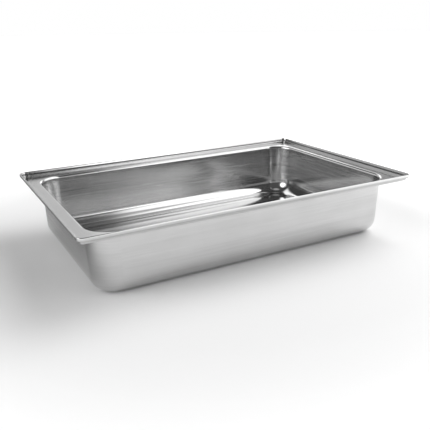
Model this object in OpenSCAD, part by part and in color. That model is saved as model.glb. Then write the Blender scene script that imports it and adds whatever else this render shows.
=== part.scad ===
// Full-size stainless water pan: a deep-drawn basin with a welded, stepped rim.
// Units are millimetres. The origin is on the underside of the floor, in the middle of the pan.
// +X runs along the long side, -Y is the front, +Z is up.

/* [Overall size] */
// Length over the rim
rim_l = 558; // [420:1:640]
// Width over the rim
rim_w = 356; // [300:1:420]
// Height from the underside of the floor to the top of the rim
total_h = 104; // [70:1:180]
// Sheet thickness
sheet = 0.9; // [0.7:0.1:1.4]

/* [Basin] */
// Distance from the outer face of the rim to the inner face of the wall
flange_w = 25.5; // [24:0.5:40]
// Plan radius of the opening's corners, at the inner face of the wall
opening_r = 37; // [34:0.5:60]
// Radius of the crown where the land turns down into the wall
crown_r = 4; // [3:0.1:5]
// Outer radius where the wall turns into the floor
floor_r = 24; // [10:0.5:25]
// Lean of the wall from the vertical, in degrees
draft = 2; // [1:0.1:3]

/* [Rim] */
// Depth of the land below the top of the rim
land_drop = 8.4; // [7.5:0.1:14]
// Depth of the ledge below the top of the rim
ledge_drop = 4.7; // [4:0.1:5.5]
// How far the lower riser stands in from the upper riser
riser_inset = 4.6; // [4:0.1:5]
// Height of the folded hem along the top edge
hem_h = 3.2; // [2:0.1:3.8]
// Outer radius of the bends in the rim
bend_r = 1.5; // [1.2:0.1:1.8]
// Plan radius of the rim's outer corners
corner_r = 10; // [8:0.1:11.5]
// Length of a corner piece along each side, which is also how far the foot reaches in
corner_leg = 15; // [12:0.5:18]
// Width of a butt weld
weld_w = 0.8; // [0.5:0.1:2]

/* [Hidden] */
$fn = 96;

steel = [0.74, 0.75, 0.76];
rim_steel = [0.68, 0.69, 0.70];
weld_steel = [0.84, 0.84, 0.84];

// Size of the opening between the inner faces of the wall
opening_l = rim_l - 2 * flange_w;
opening_w = rim_w - 2 * flange_w;
// Length and width of the rectangle that joins the centres of the opening's corners
core_l = opening_l - 2 * opening_r;
core_w = opening_w - 2 * opening_r;
// Heights of the top of the land and of the ledge
land_z = total_h - land_drop;
ledge_z = total_h - ledge_drop;
// Underside of the foot that carries the land
foot_z = land_z - 2 * sheet;
// Distance from the outer face of the rim to the inner face of the lower riser
riser_in = riser_inset + sheet;
// Inner radius of the rim's bends
bend_in = bend_r - sheet;

// Centre of the crown's arc, from the centre of the opening's corner
crown_x = opening_r + crown_r;
crown_z = land_z - crown_r;
// Where the crown meets the wall, on the wall's inner face
wall_top = [crown_x, crown_z] + crown_r * [-cos(draft), sin(draft)];
// Direction out of the wall's outer face
wall_normal = [cos(draft), -sin(draft)];
// Centre of the floor bend's arc: the wall's outer face is tangent to it
wall_run = (wall_top.y - floor_r * (1 - sin(draft))) * tan(draft);
floor_x = wall_top.x + sheet * cos(draft) - wall_run - floor_r * cos(draft);

// Part of a ring from the angle from to the angle to, less than 180 degrees apart
module ring_sector(inner_r, outer_r, from, to) {
    reach = 2 * outer_r;
    middle = (from + to) / 2;
    intersection() {
        difference() {
            circle(outer_r);
            circle(inner_r);
        }
        polygon([
            [0, 0],
            reach * [cos(from), sin(from)],
            reach * [cos(middle), sin(middle)],
            reach * [cos(to), sin(to)]
        ]);
    }
}

// Section through the basin's wall. X is measured out from the corner centre of the opening.
module wall_section() {
    lower = [floor_x, floor_r] + (floor_r - sheet) * wall_normal;
    square([floor_x, sheet]);
    translate([floor_x, floor_r]) ring_sector(floor_r - sheet, floor_r, -90, -draft);
    polygon([lower, wall_top, wall_top + sheet * wall_normal, lower + sheet * wall_normal]);
    translate([crown_x, crown_z]) ring_sector(crown_r - sheet, crown_r, 90, 180 - draft);
}

// Runs a section along X for the given length, with the section's X turned to -Y
module front_run(length) {
    translate([length / 2, 0, 0]) rotate([90, 0, -90]) linear_extrude(length) children();
}

// Rectangle with rounded corners, in plan
module rounded_rectangle(length, width, radius) {
    square([length - 2 * radius, width], center = true);
    square([length, width - 2 * radius], center = true);
    for (x = [-1, 1], y = [-1, 1])
        translate([x * (length / 2 - radius), y * (width / 2 - radius)]) circle(radius);
}

// Flat land from the crown out to the lower riser of the rim
module land() {
    translate([0, 0, land_z - sheet]) linear_extrude(sheet) difference() {
        rounded_rectangle(rim_l - 2 * riser_in, rim_w - 2 * riser_in, corner_r - riser_in);
        rounded_rectangle(core_l + 2 * crown_x, core_w + 2 * crown_x, crown_x);
    }
}

// Deep-drawn basin: floor, four drafted walls, four rounded corners and the land
module basin() {
    color(steel) {
        translate([-core_l / 2, -core_w / 2, 0]) cube([core_l, core_w, sheet]);
        for (turn = [0, 180]) rotate(turn) {
            translate([0, -core_w / 2, 0]) front_run(core_l) wall_section();
            rotate(90) translate([0, -core_l / 2, 0]) front_run(core_w) wall_section();
            for (side = [0, 1]) mirror([side, 0, 0])
                translate([core_l / 2, -core_w / 2, 0]) rotate(-90)
                    rotate_extrude(angle = 90) wall_section();
        }
        land();
    }
}

// Section through the rim above the foot. X runs out from the rim's outer face at x = reach.
module riser_section(reach) {
    lower_x = reach - riser_in;
    upper_x = reach - sheet;
    ledge_under = ledge_z - sheet;
    // Lower riser, from the foot to its bend
    translate([lower_x, foot_z + bend_r]) square([sheet, ledge_z - foot_z - 2 * bend_r]);
    translate([lower_x + bend_r, ledge_z - bend_r]) ring_sector(bend_in, bend_r, 90, 180);
    // Ledge
    translate([lower_x + bend_r, ledge_under]) square([riser_in - 2 * bend_r, sheet]);
    translate([reach - bend_r, ledge_under + bend_r]) ring_sector(bend_in, bend_r, -90, 0);
    // Upper riser and the hem folded down inside it
    translate([upper_x, ledge_under + bend_r]) square([sheet, total_h - sheet - ledge_under - bend_r]);
    translate([upper_x - sheet, total_h - hem_h]) square([sheet, hem_h - sheet]);
    translate([upper_x, total_h - sheet]) intersection() {
        circle(sheet);
        translate([-sheet, 0]) square([2 * sheet, sheet]);
    }
}

// Section through the foot, from x = 0 out to the lower riser. The bend is closed tight inside.
module foot_section(reach) {
    bend_x = reach - riser_inset - bend_r;
    translate([0, foot_z]) square([bend_x, sheet]);
    translate([bend_x, foot_z + bend_r]) intersection() {
        circle(bend_r);
        union() {
            translate([0, -bend_r]) square([bend_r, sheet]);
            translate([bend_in, -bend_r]) square([sheet, bend_r]);
        }
    }
}

// Whole section of the rim, from the foot to the hem
module rim_section(reach) {
    foot_section(reach);
    riser_section(reach);
}

// Straight rail along the front of a rim that is span long and depth wide
module rail(span, depth) {
    length = span - 2 * (corner_leg + weld_w);
    color(rim_steel) translate([0, -depth / 2 + corner_leg, 0])
        front_run(length) rim_section(corner_leg);
}

// Corner piece at the front right of the rim, centred on the inner corner of its foot
module corner_piece() {
    straight = corner_leg - corner_r;
    color(rim_steel) {
        translate([straight / 2, 0, 0]) front_run(straight) rim_section(corner_leg);
        translate([0, -straight / 2, 0]) rotate(90) front_run(straight) rim_section(corner_leg);
        translate([straight, -straight, 0]) rotate(-90)
            rotate_extrude(angle = 90) rim_section(corner_r);
    }
}

// Puts a front-right piece at one corner of the rim. side is 1 right or -1 left, end is 1 front or -1 back.
module at_corner(side, end) {
    mirror([side < 0 ? 1 : 0, 0, 0]) mirror([0, end < 0 ? 1 : 0, 0])
        translate([rim_l / 2 - corner_leg, -rim_w / 2 + corner_leg, 0]) children();
}

module rim_rail_front() { rail(rim_l, rim_w); }
module rim_rail_right() { rotate(90) rail(rim_w, rim_l); }
module rim_rail_back() { rotate(180) rail(rim_l, rim_w); }
module rim_rail_left() { rotate(270) rail(rim_w, rim_l); }

module rim_corner_front_left() { at_corner(-1, 1) corner_piece(); }
module rim_corner_front_right() { at_corner(1, 1) corner_piece(); }
module rim_corner_back_right() { at_corner(1, -1) corner_piece(); }
module rim_corner_back_left() { at_corner(-1, -1) corner_piece(); }

// Butt welds between the rails and the corner pieces, ground flush
module corner_welds() {
    color(weld_steel) for (side = [-1, 1], end = [-1, 1]) at_corner(side, end) {
        translate([-weld_w / 2, 0, 0]) front_run(weld_w) rim_section(corner_leg);
        translate([0, weld_w / 2, 0]) rotate(90) front_run(weld_w) rim_section(corner_leg);
    }
}

basin();
rim_rail_front();
rim_rail_right();
rim_rail_back();
rim_rail_left();
rim_corner_front_left();
rim_corner_front_right();
rim_corner_back_right();
rim_corner_back_left();
corner_welds();
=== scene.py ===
"""Looks of a full-size stainless water pan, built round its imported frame. Lengths are in metres."""
import math

import bmesh
import bpy
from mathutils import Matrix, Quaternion, Vector, noise


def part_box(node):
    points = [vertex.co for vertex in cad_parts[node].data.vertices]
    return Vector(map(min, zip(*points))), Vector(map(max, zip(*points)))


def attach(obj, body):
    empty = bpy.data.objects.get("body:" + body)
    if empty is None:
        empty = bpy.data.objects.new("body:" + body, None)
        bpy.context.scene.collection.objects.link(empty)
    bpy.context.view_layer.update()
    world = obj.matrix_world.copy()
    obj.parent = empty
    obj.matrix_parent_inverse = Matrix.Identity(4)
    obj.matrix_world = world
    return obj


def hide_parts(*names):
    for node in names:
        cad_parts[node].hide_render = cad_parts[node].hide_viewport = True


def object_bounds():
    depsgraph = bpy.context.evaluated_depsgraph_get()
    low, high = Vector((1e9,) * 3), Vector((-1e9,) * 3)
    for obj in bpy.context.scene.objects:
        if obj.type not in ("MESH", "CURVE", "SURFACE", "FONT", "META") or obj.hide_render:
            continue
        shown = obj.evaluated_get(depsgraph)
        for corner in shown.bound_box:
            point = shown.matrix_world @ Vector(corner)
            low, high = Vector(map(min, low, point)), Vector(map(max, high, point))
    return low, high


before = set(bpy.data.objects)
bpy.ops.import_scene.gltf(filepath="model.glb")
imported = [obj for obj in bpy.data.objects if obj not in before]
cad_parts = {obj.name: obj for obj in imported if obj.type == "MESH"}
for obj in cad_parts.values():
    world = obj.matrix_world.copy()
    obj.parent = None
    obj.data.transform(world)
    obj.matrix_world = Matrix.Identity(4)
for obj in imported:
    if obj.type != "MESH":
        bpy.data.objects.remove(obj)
CAD_LOW, CAD_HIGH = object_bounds()
MM = 0.001

# ---------------------------------------------------------------- sizes
RIM_L = CAD_HIGH.x - CAD_LOW.x
RIM_W = CAD_HIGH.y - CAD_LOW.y
RIM_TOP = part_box("rim_rail_front")[1].z
LAND_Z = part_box("basin")[1].z
FOOT_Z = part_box("rim_rail_front")[0].z
CORNER_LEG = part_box("rim_corner_front_left")[1].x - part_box("rim_corner_front_left")[0].x
RAIL_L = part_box("rim_rail_front")[1].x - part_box("rim_rail_front")[0].x
WELD_W = (RIM_L - 2 * CORNER_LEG - RAIL_L) / 2

SHEET = 0.9 * MM
FLANGE_W = 25.5 * MM      # outer face of the rim to the inner face of the wall
OPENING_R = 37 * MM       # plan radius of the opening's corners
CROWN_R = 4 * MM          # where the land turns down into the wall
FLOOR_R = 24 * MM         # outer radius where the wall turns into the floor
DRAFT = math.radians(2)   # lean of the wall
LEDGE_DROP = 4.7 * MM     # top of the rim down to the ledge
RISER_INSET = 4.6 * MM    # lower riser's outer face in from the upper one's
BEND_R = 1.5 * MM         # outer radius of the rim's bends
CORNER_R = 10 * MM        # plan radius of the rim's outer corners
HEM_H = 3.2 * MM          # height of the folded hem
HEM_GAP = 0.12 * MM       # gap inside the fold
HEM_SPRING = 0.45 * MM    # how far the hem's free edge has sprung open
LIP_R = 0.12 * MM         # rounding of the hem's free edge
WELD_CROWN = 0.05 * MM    # how far a weld stands proud
FLOOR_GAP = 0.05 * MM     # studio floor below the pan

CORE_L = RIM_L - 2 * (FLANGE_W + OPENING_R)
CORE_W = RIM_W - 2 * (FLANGE_W + OPENING_R)
RISER_IN = RISER_INSET + SHEET
LAND_REACH = FLANGE_W + OPENING_R - RISER_IN    # core to the outer edge of the land
CROWN_X = OPENING_R + CROWN_R
CROWN_Z = LAND_Z - CROWN_R
WALL_TOP = Vector((CROWN_X - CROWN_R * math.cos(DRAFT), CROWN_Z + CROWN_R * math.sin(DRAFT)))
WALL_OUT = Vector((math.cos(DRAFT), -math.sin(DRAFT)))
WALL_RUN = (WALL_TOP.y - FLOOR_R * (1 - math.sin(DRAFT))) * math.tan(DRAFT)
FLOOR_X = WALL_TOP.x + SHEET * math.cos(DRAFT) - WALL_RUN - FLOOR_R * math.cos(DRAFT)

# Divisions of the basin's mesh along a long side, along a short side and round a corner
ALONG_L, ALONG_W, ALONG_CORNER = 62, 34, 18
# Divisions of the wall's section: floor bend, straight wall and crown
BEND_STEPS, WALL_STEPS, CROWN_STEPS = 14, 12, 9
# Divisions of the rim: length of one along a rail, then how many in a corner's leg, its turn and a weld
RAIL_STEP = 4.5 * MM
LEG_STEPS, TURN_STEPS, WELD_STEPS = 4, 14, 4

# Height of the floor's gentle dome and of the sheet's waves, then the size and seed of each kind of wave
DOME = 0.5 * MM
FLOOR_WAVE = 0.45 * MM
WALL_WAVE = 0.30 * MM
FLOOR_SWELL = (0.11, 2.6)
FLOOR_RIPPLE = (0.05, 5.1)
WALL_SWELL = (0.085, 7.3)

# Unevenness of a folded rail: how far it goes, over what length, and a seed
RAIL_BOW = (0.28 * MM, 0.07, 0.5)
RAIL_WOBBLE = (0.10 * MM, 0.018, 4.5)
RAIL_DIP = (0.12 * MM, 0.05, 9.5)
# Unevenness of a weld: cycles per metre, and the share of its height that it swings about
WELD_GRAIN, WELD_MEAN = 900, 0.6

# Share of wear, which polishes: along the land's cut edge, and on the rim's fold, bend and flats
CUT_WEAR = 0.3
FOLD_WEAR, BEND_WEAR, FLAT_WEAR = 1.0, 0.6, 0.15
# How far painted shade reaches from one of the rim's inside corners. It darkens the colour and also
# dulls the steel
CREASE_SHADE_REACH = 1.3 * MM
# Where the grain coordinate of each surface starts, so that no two share their streaks
SKIN_V, CUT_V, RIM_V = 1.0, 1.3, 2.0


# ---------------------------------------------------------------- mesh helpers
def arc(centre, radius, start, end, steps):
    """Points along an arc of a section. Angles are in degrees."""
    angles = [math.radians(start + (end - start) * i / steps) for i in range(steps + 1)]
    return [Vector((centre[0] + radius * math.cos(a), centre[1] + radius * math.sin(a))) for a in angles]


def direction(angle):
    """Level direction at an angle from +X, in radians."""
    return Vector((math.cos(angle), math.sin(angle), 0))


def upright(height):
    return Vector((0, 0, height))


def make_object(name, bm, material, slot, *nodes):
    """Turns a bmesh into a smooth piece that stands for CAD nodes and rides on the pan."""
    bmesh.ops.recalc_face_normals(bm, faces=bm.faces)
    mesh = bpy.data.meshes.new(name)
    bm.to_mesh(mesh)
    bm.free()
    mesh.materials.append(material)
    obj = bpy.data.objects.new(name, mesh)
    bpy.context.scene.collection.objects.link(obj)
    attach(obj, "root")
    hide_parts(*nodes)
    smooth(mesh)


def smooth(mesh, angle=35):
    """Smooth shading that keeps folds sharper than an angle in degrees."""
    mesh.shade_smooth()
    limit = math.cos(math.radians(angle))
    bm = bmesh.new()
    bm.from_mesh(mesh)
    for edge in bm.edges:
        if len(edge.link_faces) == 2:
            a, b = edge.link_faces
            edge.smooth = a.normal.dot(b.normal) > limit
    bm.to_mesh(mesh)
    bm.free()


def new_layers(bm):
    """Grain coordinates, edge wear and the painted shade of the rim's inside corners. The attributes
    must all exist before the first vertex.
    """
    floats = bm.verts.layers.float
    return bm.loops.layers.uv.new("grain"), floats.new("wear"), floats.new("crease_shade")


def add_face(bm, uv_layer, verts, uvs):
    """Adds a face with its grain coordinates, U along the brushing."""
    face = bm.faces.new(verts)
    for loop, uv in zip(face.loops, uvs):
        loop[uv_layer].uv = uv


# ---------------------------------------------------------------- basin
def wave(point, size, seed):
    """Smooth waves of a drawn sheet, between about -1 and 1."""
    return noise.noise(Vector((point.x / size, point.y / size, point.z / size + seed)))


def square_reach(angle, reach, radius):
    """Distance from a corner's centre to a rounded square corner, at an angle in its quarter."""
    way = direction(angle % (math.pi / 2)).xy
    flat = reach / max(way)
    if min(way) * flat <= reach - radius:
        return flat
    centre = Vector((reach - radius, reach - radius))
    along = way.dot(centre)
    return along + math.sqrt(along ** 2 - centre.length_squared + radius ** 2)


class Ring:
    """One loop round the basin: its distance out from the core, its height and which way it faces.

    stiff is its share without waves, wear its share of polish, and square how far its corners are
    drawn out to the land's squarer ones.
    """

    def __init__(self, out, z, facing, stiff, wear=0.0, square=0.0):
        self.out, self.z, self.facing = out, z, facing
        self.stiff, self.wear, self.square = stiff, wear, square

    def place(self, base, angle):
        out = self.out
        if self.square:
            out += self.square * (square_reach(angle, out, CORNER_R - RISER_IN) - out)
        way = direction(angle)
        point = base + out * way + upright(self.z)
        normal = self.facing.x * way + upright(self.facing.y)
        return point + normal * self.bulge(point)

    def bulge(self, point):
        if self.stiff >= 1:
            return 0.0
        return (1 - self.stiff) * WALL_WAVE * wave(point, *WALL_SWELL)


def basin_rings(under):
    """Rings of the sheet's upper skin, or of its underside, from the floor's core to the land's edge."""
    # How far this skin lies above the sheet's underside and below its upper side
    above, below = (0, SHEET) if under else (SHEET, 0)
    up = Vector((0, 1))
    rings = []
    for share in (0.35, 0.7, 1.0):
        rings.append(Ring(FLOOR_X * share, above, up, 1 - 0.4 * (1 - share), wear=1))
    bend_centre = Vector((FLOOR_X, FLOOR_R))
    bend = arc(bend_centre, FLOOR_R - above, -90, -math.degrees(DRAFT), BEND_STEPS)
    for i, p in enumerate(bend[1:]):
        share = i / (BEND_STEPS - 1)
        rings.append(Ring(*p, (bend_centre - p).normalized(), 1 - 0.25 * share, wear=1 - share ** 3))
    top = WALL_TOP + below * WALL_OUT
    for i in range(1, WALL_STEPS):
        share = i / WALL_STEPS
        free = 4 * share * (1 - share)
        most = 0.75 if share < 0.5 else 1
        rings.append(Ring(*bend[-1].lerp(top, share), -WALL_OUT, most - most * free))
    crown_centre = Vector((CROWN_X, CROWN_Z))
    crown = arc(crown_centre, CROWN_R - below, 180 - math.degrees(DRAFT), 90, CROWN_STEPS)
    for i, p in enumerate(crown):
        polish = math.sin(math.pi * i / CROWN_STEPS)
        rings.append(Ring(*p, (p - crown_centre).normalized(), 1, wear=polish))
    for share in (0.25, 0.5, 0.75, 1.0):
        out = CROWN_X + (LAND_REACH - CROWN_X) * share
        rings.append(Ring(out, LAND_Z - below, up, 1, square=share))
    return rings


def basin_stations():
    """Stops round the core: grid column and row, direction outwards and grain coordinate."""
    stops = []
    walk = 0.0
    sides = [(ALONG_L, 1, 0, -90), (ALONG_W, 0, 1, 0), (ALONG_L, -1, 0, 90), (ALONG_W, 0, -1, 180)]
    column, row = 0, 0
    for count, right, up, facing in sides:
        step = (CORE_L if right else CORE_W) / count
        for _ in range(count):
            stops.append((column, row, math.radians(facing), walk))
            column += right
            row += up
            walk += step
        for i in range(ALONG_CORNER):
            turn = i / ALONG_CORNER * 90
            stops.append((column, row, math.radians(facing + turn), walk))
            walk += OPENING_R * math.pi / 2 / ALONG_CORNER
    return stops, walk


def station_pairs(stops, length):
    """Each stop's number and the next one's, with their grain coordinates. length closes the loop."""
    for i, stop in enumerate(stops):
        j = (i + 1) % len(stops)
        yield i, j, stop[3], stops[j][3] if j else length


def core_point(column, row):
    return Vector((CORE_L * (column / ALONG_L - 0.5), CORE_W * (row / ALONG_W - 0.5), 0))


def floor_lift(point):
    """How far the floor's core stands above flat: a slight dome and some waves, nothing at its edge."""
    u, v = 2 * point.x / CORE_L, 2 * point.y / CORE_W
    inside = (1 - u ** 2) * (1 - v ** 2)
    waves = 0.5 + 0.5 * wave(point, *FLOOR_SWELL) + 0.25 * wave(point, *FLOOR_RIPPLE)
    return DOME * inside + FLOOR_WAVE * waves * min(1.0, 3 * inside)


def skin(bm, layers, under, stops, length):
    """Builds one side of the sheet and returns its outermost loop of vertices."""
    uv_layer, wear_layer, _ = layers
    floor_z = 0 if under else SHEET
    grid = {}
    for row in range(ALONG_W + 1):
        for column in range(ALONG_L + 1):
            p = core_point(column, row)
            vert = bm.verts.new((p.x, p.y, floor_z + floor_lift(p)))
            vert[wear_layer] = 1
            grid[column, row] = vert
    for row in range(ALONG_W):
        for column in range(ALONG_L):
            corners = [(column, row), (column + 1, row), (column + 1, row + 1), (column, row + 1)]
            add_face(bm, uv_layer, [grid[c] for c in corners], [core_point(*c).xy for c in corners])
    inner = [grid[column, row] for column, row, _, _ in stops]
    travel, inner_at = SKIN_V, (0.0, floor_z)
    for ring in basin_rings(under):
        outer = [bm.verts.new(ring.place(core_point(c, r), angle)) for c, r, angle, _ in stops]
        beyond = travel + math.dist(inner_at, (ring.out, ring.z))
        for i, j, u0, u1 in station_pairs(stops, length):
            verts = [inner[i], outer[i], outer[j], inner[j]]
            uvs = [(u0, travel), (u0, beyond), (u1, beyond), (u1, travel)]
            sides = 3 if inner[i] == inner[j] else 4
            add_face(bm, uv_layer, verts[:sides], uvs[:sides])
        for vert in outer:
            # Nothing reaches below the surface that the pan stands on
            vert.co.z = max(0, vert.co.z)
            vert[wear_layer] = ring.wear
        inner, travel, inner_at = outer, beyond, (ring.out, ring.z)
    return inner


def build_basin(material):
    """The basin: both skins of the sheet, joined along the land's cut edge."""
    bm = bmesh.new()
    layers = new_layers(bm)
    uv_layer, wear_layer, _ = layers
    stops, length = basin_stations()
    top = skin(bm, layers, False, stops, length)
    bottom = skin(bm, layers, True, stops, length)
    for i, j, u0, u1 in station_pairs(stops, length):
        uvs = [(u0, CUT_V), (u0, CUT_V + SHEET), (u1, CUT_V + SHEET), (u1, CUT_V)]
        add_face(bm, uv_layer, [top[i], bottom[i], bottom[j], top[j]], uvs)
    for vert in top + bottom:
        vert[wear_layer] = CUT_WEAR
    make_object("basin_shell", bm, material, "basin_steel", "basin")


# ---------------------------------------------------------------- rim
def rim_outline(reach):
    """Closed outline of the rim's section. X is 0 at the foot's end and reach at the outer face."""
    lower = reach - RISER_IN
    upper = reach - SHEET
    ledge = RIM_TOP - LEDGE_DROP
    free = upper - HEM_SPRING
    bend_in = BEND_R - SHEET
    foot_bend = (reach - RISER_INSET - BEND_R, FOOT_Z + BEND_R)
    low_bend = (lower + BEND_R, ledge - BEND_R)
    high_bend = (reach - BEND_R, ledge - SHEET + BEND_R)
    lip_z = RIM_TOP - HEM_H + LIP_R
    lip = arc((free - SHEET + LIP_R, lip_z), LIP_R, 180, 270, 3)
    points = [Vector((0, FOOT_Z))]
    points += arc(foot_bend, BEND_R, -90, 0, 6)
    points += arc(low_bend, bend_in, 180, 90, 4)
    points += arc(high_bend, BEND_R, -90, 0, 6)
    points += arc((upper, RIM_TOP - SHEET), SHEET, 0, 180, 12)
    # Points near the ends of the hem's flat face keep its shading flat
    points += [points[-1].lerp(lip[0], share) for share in (0.08, 0.92)]
    points += lip
    points += arc((free - 2 * LIP_R, lip_z), LIP_R, -90, 0, 3)
    points += arc((upper - HEM_GAP / 2, RIM_TOP - SHEET), HEM_GAP / 2, 180, 0, 4)
    points += arc(high_bend, bend_in, 0, -90, 4)
    points += arc(low_bend, BEND_R, 90, 180, 6)
    points += [Vector((lower, FOOT_Z + SHEET)), Vector((0, FOOT_Z + SHEET))]
    return points


def outline_wear(point, reach):
    """Polish of the rim: most on the fold along its top, some on the bend below it."""
    if point.y > RIM_TOP - SHEET * 1.1:
        return FOLD_WEAR
    if point.x > reach - BEND_R and point.y < RIM_TOP - LEDGE_DROP + BEND_R:
        return BEND_WEAR
    return FLAT_WEAR


def outline_crease_shade(point, reach):
    """Painted shade and dullness in the rim's inside corners: under the ledge, on the ledge and at the
    land.
    """
    ledge = RIM_TOP - LEDGE_DROP
    hollows = [(reach - RISER_INSET, ledge - SHEET), (reach - SHEET, ledge), (reach - RISER_IN, LAND_Z)]
    near = min(math.dist(point, hollow) for hollow in hollows)
    return max(0.0, 1 - near / CREASE_SHADE_REACH)


def still(point, number):
    return 0.0, 0.0


def sweep(bm, layers, reach, stops, shift=still, walk=0.0, open_end=False):
    """Sweeps the rim's section past stops of (base, angle) and closes both ends.

    shift(point, stop number) moves a point out and up a little, walk is where the grain starts, and
    open_end leaves out the face at the foot's end.
    """
    uv_layer, wear_layer, crease_shade_layer = layers
    outline = rim_outline(reach)
    count = len(outline)
    travel = [RIM_V]
    for a, b in zip(outline, outline[1:] + outline[:1]):
        travel.append(travel[-1] + (b - a).length)
    rows, walks = [], []
    for number, (base, angle) in enumerate(stops):
        way = direction(angle)
        row = []
        for p in outline:
            out, up = shift(p, number)
            vert = bm.verts.new(base + (p.x + out) * way + upright(p.y + up))
            vert[wear_layer] = outline_wear(p, reach)
            # Painted shade: how strongly the colour darkens in the rim's inside corners
            vert[crease_shade_layer] = outline_crease_shade(p, reach)
            row.append(vert)
        if rows:
            walk += (row[count // 3].co - rows[-1][count // 3].co).length
        rows.append(row)
        walks.append(walk)
    for k in range(len(rows) - 1):
        for i in range(count - 1 if open_end else count):
            j = (i + 1) % count
            verts = [rows[k][i], rows[k][j], rows[k + 1][j], rows[k + 1][i]]
            uvs = [(walks[k], travel[i]), (walks[k], travel[i + 1])]
            uvs += [(walks[k + 1], travel[i + 1]), (walks[k + 1], travel[i])]
            add_face(bm, uv_layer, verts, uvs)
    bm.faces.new(rows[0])
    bm.faces.new(list(reversed(rows[-1])))


def rail_sway(length, count, seed):
    """The slight unevenness of a folded rail, nothing at its ends or its foot."""
    def swing(x, reach, size, layer):
        return reach * noise.noise(Vector((x / size, seed, layer)))

    def shift(point, number):
        along = number / count
        ends = min(1.0, 12 * along * (1 - along))
        height = max(0.0, (point.y - LAND_Z) / (RIM_TOP - LAND_Z))
        x = along * length
        out = swing(x, *RAIL_BOW) + swing(x, *RAIL_WOBBLE)
        return ends * height * out, -ends * height * abs(swing(x, *RAIL_DIP))
    return shift


def build_rail(name, node, span, depth, turn, material, seed):
    """A straight rail. span is the rim's length along it, depth the rim's size across it."""
    length = span - 2 * (CORNER_LEG + WELD_W)
    count = round(length / RAIL_STEP)
    angle = math.radians(turn)
    way = direction(angle)
    along = Vector((-way.y, way.x, 0))
    base = (depth / 2 - CORNER_LEG) * way
    stops = [(base + along * length * (i / count - 0.5), angle) for i in range(count + 1)]
    bm = bmesh.new()
    sweep(bm, new_layers(bm), CORNER_LEG, stops, rail_sway(length, count, seed), walk=seed)
    make_object(name, bm, material, "rail_steel", node)


def build_corner(name, node, side, end, material):
    """A corner piece: two short legs, a bend between them and the square of its foot."""
    straight = CORNER_LEG - CORNER_R
    centre = Vector((side * (RIM_L / 2 - CORNER_R), end * (RIM_W / 2 - CORNER_R), 0))
    out_y = math.radians(90 * end)
    turn = -side * end * math.pi / 2
    stops = []
    for i in range(LEG_STEPS):
        stops.append((centre - Vector((side * straight * (1 - i / LEG_STEPS), 0, 0)), out_y))
    for i in range(TURN_STEPS + 1):
        stops.append((centre, out_y + turn * i / TURN_STEPS))
    for i in range(1, LEG_STEPS + 1):
        stops.append((centre - Vector((0, end * straight * i / LEG_STEPS, 0)), out_y + turn))
    bm = bmesh.new()
    sweep(bm, new_layers(bm), CORNER_R, stops, open_end=True)

    def foot_face(corners):
        places = [(centre.x - side * a, centre.y - end * b, z) for a, b, z in corners]
        bm.faces.new([bm.verts.new(place) for place in places])

    low, high = FOOT_Z, FOOT_Z + SHEET
    ticks = [straight * i / LEG_STEPS for i in range(LEG_STEPS + 1)]
    steps = list(zip(ticks, ticks[1:]))
    for z in (low, high):
        for a0, a1 in steps:
            for b0, b1 in steps:
                foot_face([(a0, b0, z), (a1, b0, z), (a1, b1, z), (a0, b1, z)])
    for t0, t1 in steps:
        foot_face([(t0, straight, low), (t1, straight, low), (t1, straight, high), (t0, straight, high)])
        foot_face([(straight, t0, low), (straight, t1, low), (straight, t1, high), (straight, t0, high)])
    bmesh.ops.remove_doubles(bm, verts=bm.verts, dist=0.002 * MM)
    bmesh.ops.dissolve_degenerate(bm, edges=bm.edges, dist=0.001 * MM)
    make_object(name, bm, material, "corner_steel", node)


def build_welds(material):
    """Eight ground weld seams, each a hair proud of the rails."""
    outline = rim_outline(CORNER_LEG)
    middle = sum(p.x for p in outline) / len(outline)
    along_x = RIM_L / 2 - CORNER_LEG - WELD_W
    along_y = RIM_W / 2 - CORNER_LEG - WELD_W

    def crowned(point, number):
        rise = math.sin(math.pi * number / WELD_STEPS) * WELD_CROWN
        grain = noise.noise(Vector((point.x * WELD_GRAIN, point.y * WELD_GRAIN, number)))
        jitter = WELD_MEAN + (1 - WELD_MEAN) * grain
        return rise * jitter * (1 if point.x > middle else -1), 0.0

    bm = bmesh.new()
    layers = new_layers(bm)
    across = [WELD_W * i / WELD_STEPS for i in range(WELD_STEPS + 1)]
    for side in (-1, 1):
        for end in (-1, 1):
            x, y = side * (RIM_L / 2 - CORNER_LEG), end * (RIM_W / 2 - CORNER_LEG)
            out_x, out_y = 0 if side > 0 else math.pi, math.radians(90 * end)
            on_long_side = [(Vector((side * (along_x + step), y, 0)), out_y) for step in across]
            on_short_side = [(Vector((x, end * (along_y + step), 0)), out_x) for step in across]
            sweep(bm, layers, CORNER_LEG, on_long_side, crowned)
            sweep(bm, layers, CORNER_LEG, on_short_side, crowned)
    make_object("corner_weld_beads", bm, material, "weld_steel", "corner_welds")


# ---------------------------------------------------------------- materials
# Streaks in the brushing: cycles per metre along it and across it, and levels of detail
FINE_STREAKS = (25, 2600, 3)
BROAD_STREAKS = (5, 380, 4)
BAND_STREAKS = (2, 60, 3)
# Smudges over the whole surface: cycles per metre, levels of detail, and share of tone and roughness
SMUDGE_SIZE, SMUDGE_DETAIL = 14, 5
SMUDGE_TONE, SMUDGE_ROUGH = 0.8, 0.10
# Share of the fine streaks in the lines of the grain, the rest being broad
FINE_SHARE = 0.35
# What one unit of streaks does to tone, through its lines and its bands, to roughness and to bump
LINE_TONE, BAND_TONE, LINE_ROUGH, LINE_BUMP = 1.1, 0.8, 0.35, 0.25
BUMP_DEPTH = 0.02 * MM
# Darkest and lightest tone of the streaks, as shares of the steel's own tone
DARK_STREAK, LIGHT_STREAK = 0.86, 1.14
# Painted shade in the rim's inside corners: its share of the steel's own tone, the roughness it adds,
# and its least and uneven strength
CREASE_SHADE_TONE, CREASE_ROUGH = 0.38, 0.12
CREASE_SHADE_LEAST, CREASE_SHADE_UNEVEN = 0.55, 0.5


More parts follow.
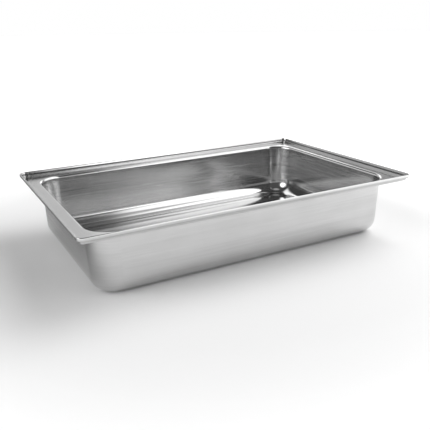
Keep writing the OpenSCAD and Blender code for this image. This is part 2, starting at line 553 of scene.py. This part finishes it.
def steel(name, tone, roughness, anisotropy, streaks, polish):
    """Brushed steel. streaks sets how strong the grain is, polish how far worn edges are smoothed."""
    material = bpy.data.materials.new(name)
    material.use_nodes = True
    nodes, links = material.node_tree.nodes, material.node_tree.links
    shader = nodes["Principled BSDF"]
    shader.inputs["Metallic"].default_value = 1
    shader.inputs["Anisotropic"].default_value = anisotropy

    def node(kind, **settings):
        made = nodes.new(kind)
        for key, value in settings.items():
            setattr(made, key, value)
        return made

    def calculate(operation, *values, clamp=False):
        made = node("ShaderNodeMath", operation=operation, use_clamp=clamp)
        for socket, value in zip(made.inputs, values):
            if isinstance(value, (int, float)):
                socket.default_value = value
            else:
                links.new(value, socket)
        return made.outputs[0]

    def centred(value):
        return calculate("SUBTRACT", value, 0.5)

    def noise_node(vector, scale, detail, dimensions="3D"):
        made = node("ShaderNodeTexNoise", noise_dimensions=dimensions)
        made.inputs["Scale"].default_value = scale
        made.inputs["Detail"].default_value = detail
        links.new(vector, made.inputs["Vector"])
        return made.outputs["Fac"]

    def streak_noise(along, across, detail):
        """Noise stretched along the brushing."""
        mapping = node("ShaderNodeMapping")
        mapping.inputs["Scale"].default_value = (along, across, 1)
        links.new(grain.outputs["UV"], mapping.inputs["Vector"])
        return noise_node(mapping.outputs[0], 1, detail, dimensions="2D")

    def scaled_tone(factor):
        return (*(min(1, channel * factor) for channel in tone), 1)

    grain = node("ShaderNodeUVMap", uv_map="grain")
    tangent = node("ShaderNodeTangent", direction_type="UV_MAP", uv_map="grain")
    links.new(tangent.outputs[0], shader.inputs["Tangent"])
    wear = node("ShaderNodeAttribute", attribute_name="wear").outputs["Fac"]
    # Mask of painted shade in the rim's inside corners, which also adds roughness there
    crease_shade = node("ShaderNodeAttribute", attribute_name="crease_shade").outputs["Fac"]
    place = node("ShaderNodeTexCoord").outputs["Object"]

    fine = streak_noise(*FINE_STREAKS)
    broad = streak_noise(*BROAD_STREAKS)
    band = streak_noise(*BAND_STREAKS)
    smudge = centred(noise_node(place, SMUDGE_SIZE, SMUDGE_DETAIL))
    thin = calculate("MULTIPLY", fine, FINE_SHARE)
    lines = calculate("ADD", thin, calculate("MULTIPLY", broad, 1 - FINE_SHARE))
    swing = centred(lines)

    rough = calculate("MULTIPLY_ADD", swing, streaks * LINE_ROUGH, roughness)
    rough = calculate("ADD", rough, calculate("MULTIPLY", smudge, SMUDGE_ROUGH))
    rough = calculate("ADD", rough, calculate("MULTIPLY", crease_shade, CREASE_ROUGH))
    rough = calculate("SUBTRACT", rough, calculate("MULTIPLY", wear, polish), clamp=True)
    links.new(rough, shader.inputs["Roughness"])

    line_shade = calculate("MULTIPLY", swing, streaks * LINE_TONE)
    band_shade = calculate("MULTIPLY", centred(band), streaks * BAND_TONE)
    shade = calculate("ADD", line_shade, band_shade)
    shade = calculate("ADD", shade, calculate("MULTIPLY", smudge, SMUDGE_TONE))
    streaked = node("ShaderNodeMix", data_type="RGBA")
    streaked.inputs["A"].default_value = scaled_tone(DARK_STREAK)
    streaked.inputs["B"].default_value = scaled_tone(LIGHT_STREAK)
    links.new(calculate("ADD", shade, 0.5, clamp=True), streaked.inputs["Factor"])
    # Painted shade: the colour darkens towards the rim's inside corners, in uneven patches
    patches = calculate("ADD", calculate("MULTIPLY", broad, CREASE_SHADE_UNEVEN), CREASE_SHADE_LEAST)
    crease_shaded = node("ShaderNodeMix", data_type="RGBA")
    crease_shaded.inputs["B"].default_value = scaled_tone(CREASE_SHADE_TONE)
    links.new(calculate("MULTIPLY", crease_shade, patches, clamp=True), crease_shaded.inputs["Factor"])
    links.new(streaked.outputs["Result"], crease_shaded.inputs["A"])
    links.new(crease_shaded.outputs["Result"], shader.inputs["Base Color"])

    bump = node("ShaderNodeBump")
    bump.inputs["Strength"].default_value = LINE_BUMP * streaks
    bump.inputs["Distance"].default_value = BUMP_DEPTH
    links.new(lines, bump.inputs["Height"])
    links.new(bump.outputs[0], shader.inputs["Normal"])
    return material


# ---------------------------------------------------------------- studio
FLOOR_RADIUS = 14
FLOOR_WHITE = 0.93

# The white floor is lit up away from the pan by painted light, a glow of its own: where that starts,
# where it is whole, how strong it is
SWEEP_NEAR, SWEEP_FAR, SWEEP_GLOW = 0.35, 0.9, 0.65

# Brightness of the painted shadow on the floor at the pan's left, which only reflections show, and its
# edges: axis, where it starts and where it is whole
SHADOW_PATCH = 0.27
SHADOW_PATCH_EDGES = [("X", -0.24, -0.30), ("Y", -0.20, 0.05), ("X", -1.2, -0.9), ("Y", 1.2, 0.9)]

# Brightness of the backdrop that the camera sees, and of the room that lights the pan: at the horizon,
# and from a height up, which is given as the sine of the elevation
BACKDROP = 1.0
HORIZON, HORIZON_TOP, ROOM = 1.15, 0.27, 0.68

# Soft round patches in the room, a later one over an earlier one: azimuth from +Y towards +X, elevation,
# angle out to which the patch is whole and angle at which it ends, all in degrees, and brightness
GLOWS = [
    (85, 45, 20, 30, 2.0),          # high panel to the right
    (131, 32, 21, 26, 1.8),         # panel to the front right
    (-90, 0, 105, 109.5, 0.10),     # dark curtain round the left half and a little past overhead
    (10, 16, 16, 25, 0.74),         # pale wall behind the pan
    (0, 90, 8, 16, 0.45),           # grey ceiling
    (-85, 26, 16, 31, 2.8),         # window to the left
    (-35, 18, 14, 26, 0.9),         # pale wall at the back left
    (149, 15, 7, 12, 1.5),          # low lamp to the front right
    (159, 12, 5, 10, 2.5),          # its brighter end
    (55, 15, 10, 17, 0.3),          # dark screen to the back right
    (31, 18, 8, 13, 2.2),           # bright strip beside the screen
]

KEY = {"place": (1.20, 0.10, 1.10), "aim": (0.3, -0.2, 0.05), "size": (1.2, 1.2), "power": 11}

# The photograph's view: where the camera stands, where it looks, its roll in degrees and its lens in mm
CAMERA_PLACE = Vector((-0.4316, -0.7927, 0.3477))
CAMERA_AIM = Vector((-0.0358, -0.0765, 0.0599))
CAMERA_ROLL = -0.735
CAMERA_LENS = 46.52
CAMERA_SENSOR = 36


def smooth_step(tree, value, start, end, low=0.0, high=1.0):
    """Takes a value smoothly from low, where it is start, to high, where it is end."""
    step = tree.nodes.new("ShaderNodeMapRange")
    step.interpolation_type = "SMOOTHSTEP"
    limits = {"From Min": start, "From Max": end, "To Min": low, "To Max": high}
    for name, limit in limits.items():
        step.inputs[name].default_value = limit
    tree.links.new(value, step.inputs["Value"])
    return step.outputs["Result"]


def pale_floor_material():
    """Matt white. A dim grey patch of painted shadow lies on it at the pan's left, which only
    reflections show.
    """
    material = bpy.data.materials.new("pale_floor")
    material.use_nodes = True
    tree = material.node_tree
    nodes, links = tree.nodes, tree.links
    place = nodes.new("ShaderNodeTexCoord").outputs["Object"]

    white = nodes["Principled BSDF"]
    white.inputs["Base Color"].default_value = (FLOOR_WHITE, FLOOR_WHITE, FLOOR_WHITE, 1)
    white.inputs["Roughness"].default_value = 0.9
    white.inputs["Specular IOR Level"].default_value = 0.1
    white.inputs["Emission Color"].default_value = (1, 1, 1, 1)
    # Painted light: the floor glows more the further it is from the pan
    away = nodes.new("ShaderNodeVectorMath")
    away.operation = "LENGTH"
    links.new(place, away.inputs[0])
    glow = smooth_step(tree, away.outputs["Value"], SWEEP_NEAR, SWEEP_FAR, high=SWEEP_GLOW)
    links.new(glow, white.inputs["Emission Strength"])

    # Painted shadow: a dim glow in the floor that only glossy rays see
    shadow_patch = nodes.new("ShaderNodeEmission")
    shadow_patch.inputs["Color"].default_value = (SHADOW_PATCH, SHADOW_PATCH, SHADOW_PATCH, 1)
    axes = nodes.new("ShaderNodeSeparateXYZ")
    links.new(place, axes.inputs[0])
    share = nodes.new("ShaderNodeLightPath").outputs["Is Glossy Ray"]
    for axis, outside, inside in SHADOW_PATCH_EDGES:
        both = nodes.new("ShaderNodeMath")
        both.operation = "MULTIPLY"
        links.new(share, both.inputs[0])
        links.new(smooth_step(tree, axes.outputs[axis], outside, inside), both.inputs[1])
        share = both.outputs[0]

    mix = nodes.new("ShaderNodeMixShader")
    links.new(share, mix.inputs["Fac"])
    links.new(white.outputs[0], mix.inputs[1])
    links.new(shadow_patch.outputs[0], mix.inputs[2])
    links.new(mix.outputs[0], nodes["Material Output"].inputs["Surface"])
    return material


def build_floor():
    bm = bmesh.new()
    bmesh.ops.create_circle(bm, cap_ends=True, segments=96, radius=FLOOR_RADIUS)
    mesh = bpy.data.meshes.new("studio_floor")
    bm.to_mesh(mesh)
    bm.free()
    mesh.materials.append(pale_floor_material())
    floor = bpy.data.objects.new("studio_floor", mesh)
    floor.location.z = -FLOOR_GAP
    bpy.context.scene.collection.objects.link(floor)


def build_world():
    """A pale room with soft bright and dark patches, which only the pan and the floor see.

    The camera sees a plain white backdrop instead.
    """
    world = bpy.data.worlds.new("studio")
    bpy.context.scene.world = world
    world.use_nodes = True
    tree = world.node_tree
    nodes, links = tree.nodes, tree.links

    def mixed(factor, a, b):
        mix = nodes.new("ShaderNodeMix")
        mix.inputs["B"].default_value = b
        links.new(factor, mix.inputs["Factor"])
        links.new(a, mix.inputs["A"])
        return mix.outputs["Result"]

    way = nodes.new("ShaderNodeTexCoord").outputs["Generated"]
    axes = nodes.new("ShaderNodeSeparateXYZ")
    links.new(way, axes.inputs[0])
    shade = smooth_step(tree, axes.outputs["Z"], 0, HORIZON_TOP, low=HORIZON, high=ROOM)
    for azimuth, elevation, whole, end, value in GLOWS:
        az, el = math.radians(azimuth), math.radians(elevation)
        level = math.cos(el)
        facing = nodes.new("ShaderNodeVectorMath")
        facing.operation = "DOT_PRODUCT"
        facing.inputs[1].default_value = (math.sin(az) * level, math.cos(az) * level, math.sin(el))
        links.new(way, facing.inputs[0])
        cosines = [math.cos(math.radians(angle)) for angle in (end, whole)]
        shade = mixed(smooth_step(tree, facing.outputs["Value"], *cosines), shade, value)
    seen = nodes.new("ShaderNodeLightPath").outputs["Is Camera Ray"]
    background = nodes["Background"]
    background.inputs["Color"].default_value = (1, 1, 1, 1)
    links.new(mixed(seen, shade, BACKDROP), background.inputs["Strength"])


def aimed(place, aim):
    """Turn that points a light or a camera from one place to another."""
    return (Vector(aim) - Vector(place)).to_track_quat("-Z", "Y")


def soft_light(name, place, aim, size, power):
    """An area light that neither the camera nor the pan's gloss shows."""
    data = bpy.data.lights.new(name, "AREA")
    data.shape = "RECTANGLE"
    data.size, data.size_y = size
    data.energy = power
    light = bpy.data.objects.new(name, data)
    light.location = place
    light.rotation_euler = aimed(place, aim).to_euler()
    light.visible_camera = False
    light.visible_glossy = False
    bpy.context.scene.collection.objects.link(light)


def build_camera():
    data = bpy.data.cameras.new("camera")
    data.sensor_width = CAMERA_SENSOR
    data.lens = CAMERA_LENS
    camera = bpy.data.objects.new("camera", data)
    roll = Quaternion((0, 0, 1), math.radians(CAMERA_ROLL))
    camera.location = CAMERA_PLACE
    camera.rotation_euler = (aimed(CAMERA_PLACE, CAMERA_AIM) @ roll).to_euler()
    bpy.context.scene.collection.objects.link(camera)
    bpy.context.scene.camera = camera


# ---------------------------------------------------------------- scene
basin_steel = steel("basin_steel", (0.62, 0.62, 0.62),
                    roughness=0.195, anisotropy=0.45, streaks=0.9, polish=0.13)
rail_steel = steel("rail_steel", (0.60, 0.60, 0.60),
                   roughness=0.15, anisotropy=0.4, streaks=0.5, polish=0.05)
corner_steel = steel("corner_steel", (0.60, 0.60, 0.60),
                     roughness=0.13, anisotropy=0.1, streaks=0.4, polish=0.04)
weld_steel = steel("weld_steel", (0.60, 0.60, 0.59),
                   roughness=0.34, anisotropy=0.0, streaks=1.4, polish=0.05)

build_basin(basin_steel)
build_rail("front_rail", "rim_rail_front", RIM_L, RIM_W, -90, rail_steel, 1.5)
build_rail("right_rail", "rim_rail_right", RIM_W, RIM_L, 0, rail_steel, 2.5)
build_rail("back_rail", "rim_rail_back", RIM_L, RIM_W, 90, rail_steel, 3.5)
build_rail("left_rail", "rim_rail_left", RIM_W, RIM_L, 180, rail_steel, 4.5)
build_corner("front_left_corner", "rim_corner_front_left", -1, -1, corner_steel)
build_corner("front_right_corner", "rim_corner_front_right", 1, -1, corner_steel)
build_corner("back_right_corner", "rim_corner_back_right", 1, 1, corner_steel)
build_corner("back_left_corner", "rim_corner_back_left", -1, 1, corner_steel)
build_welds(weld_steel)

build_floor()
build_world()
soft_light("key", **KEY)
build_camera()
bpy.context.scene.view_settings.view_transform = "Standard"
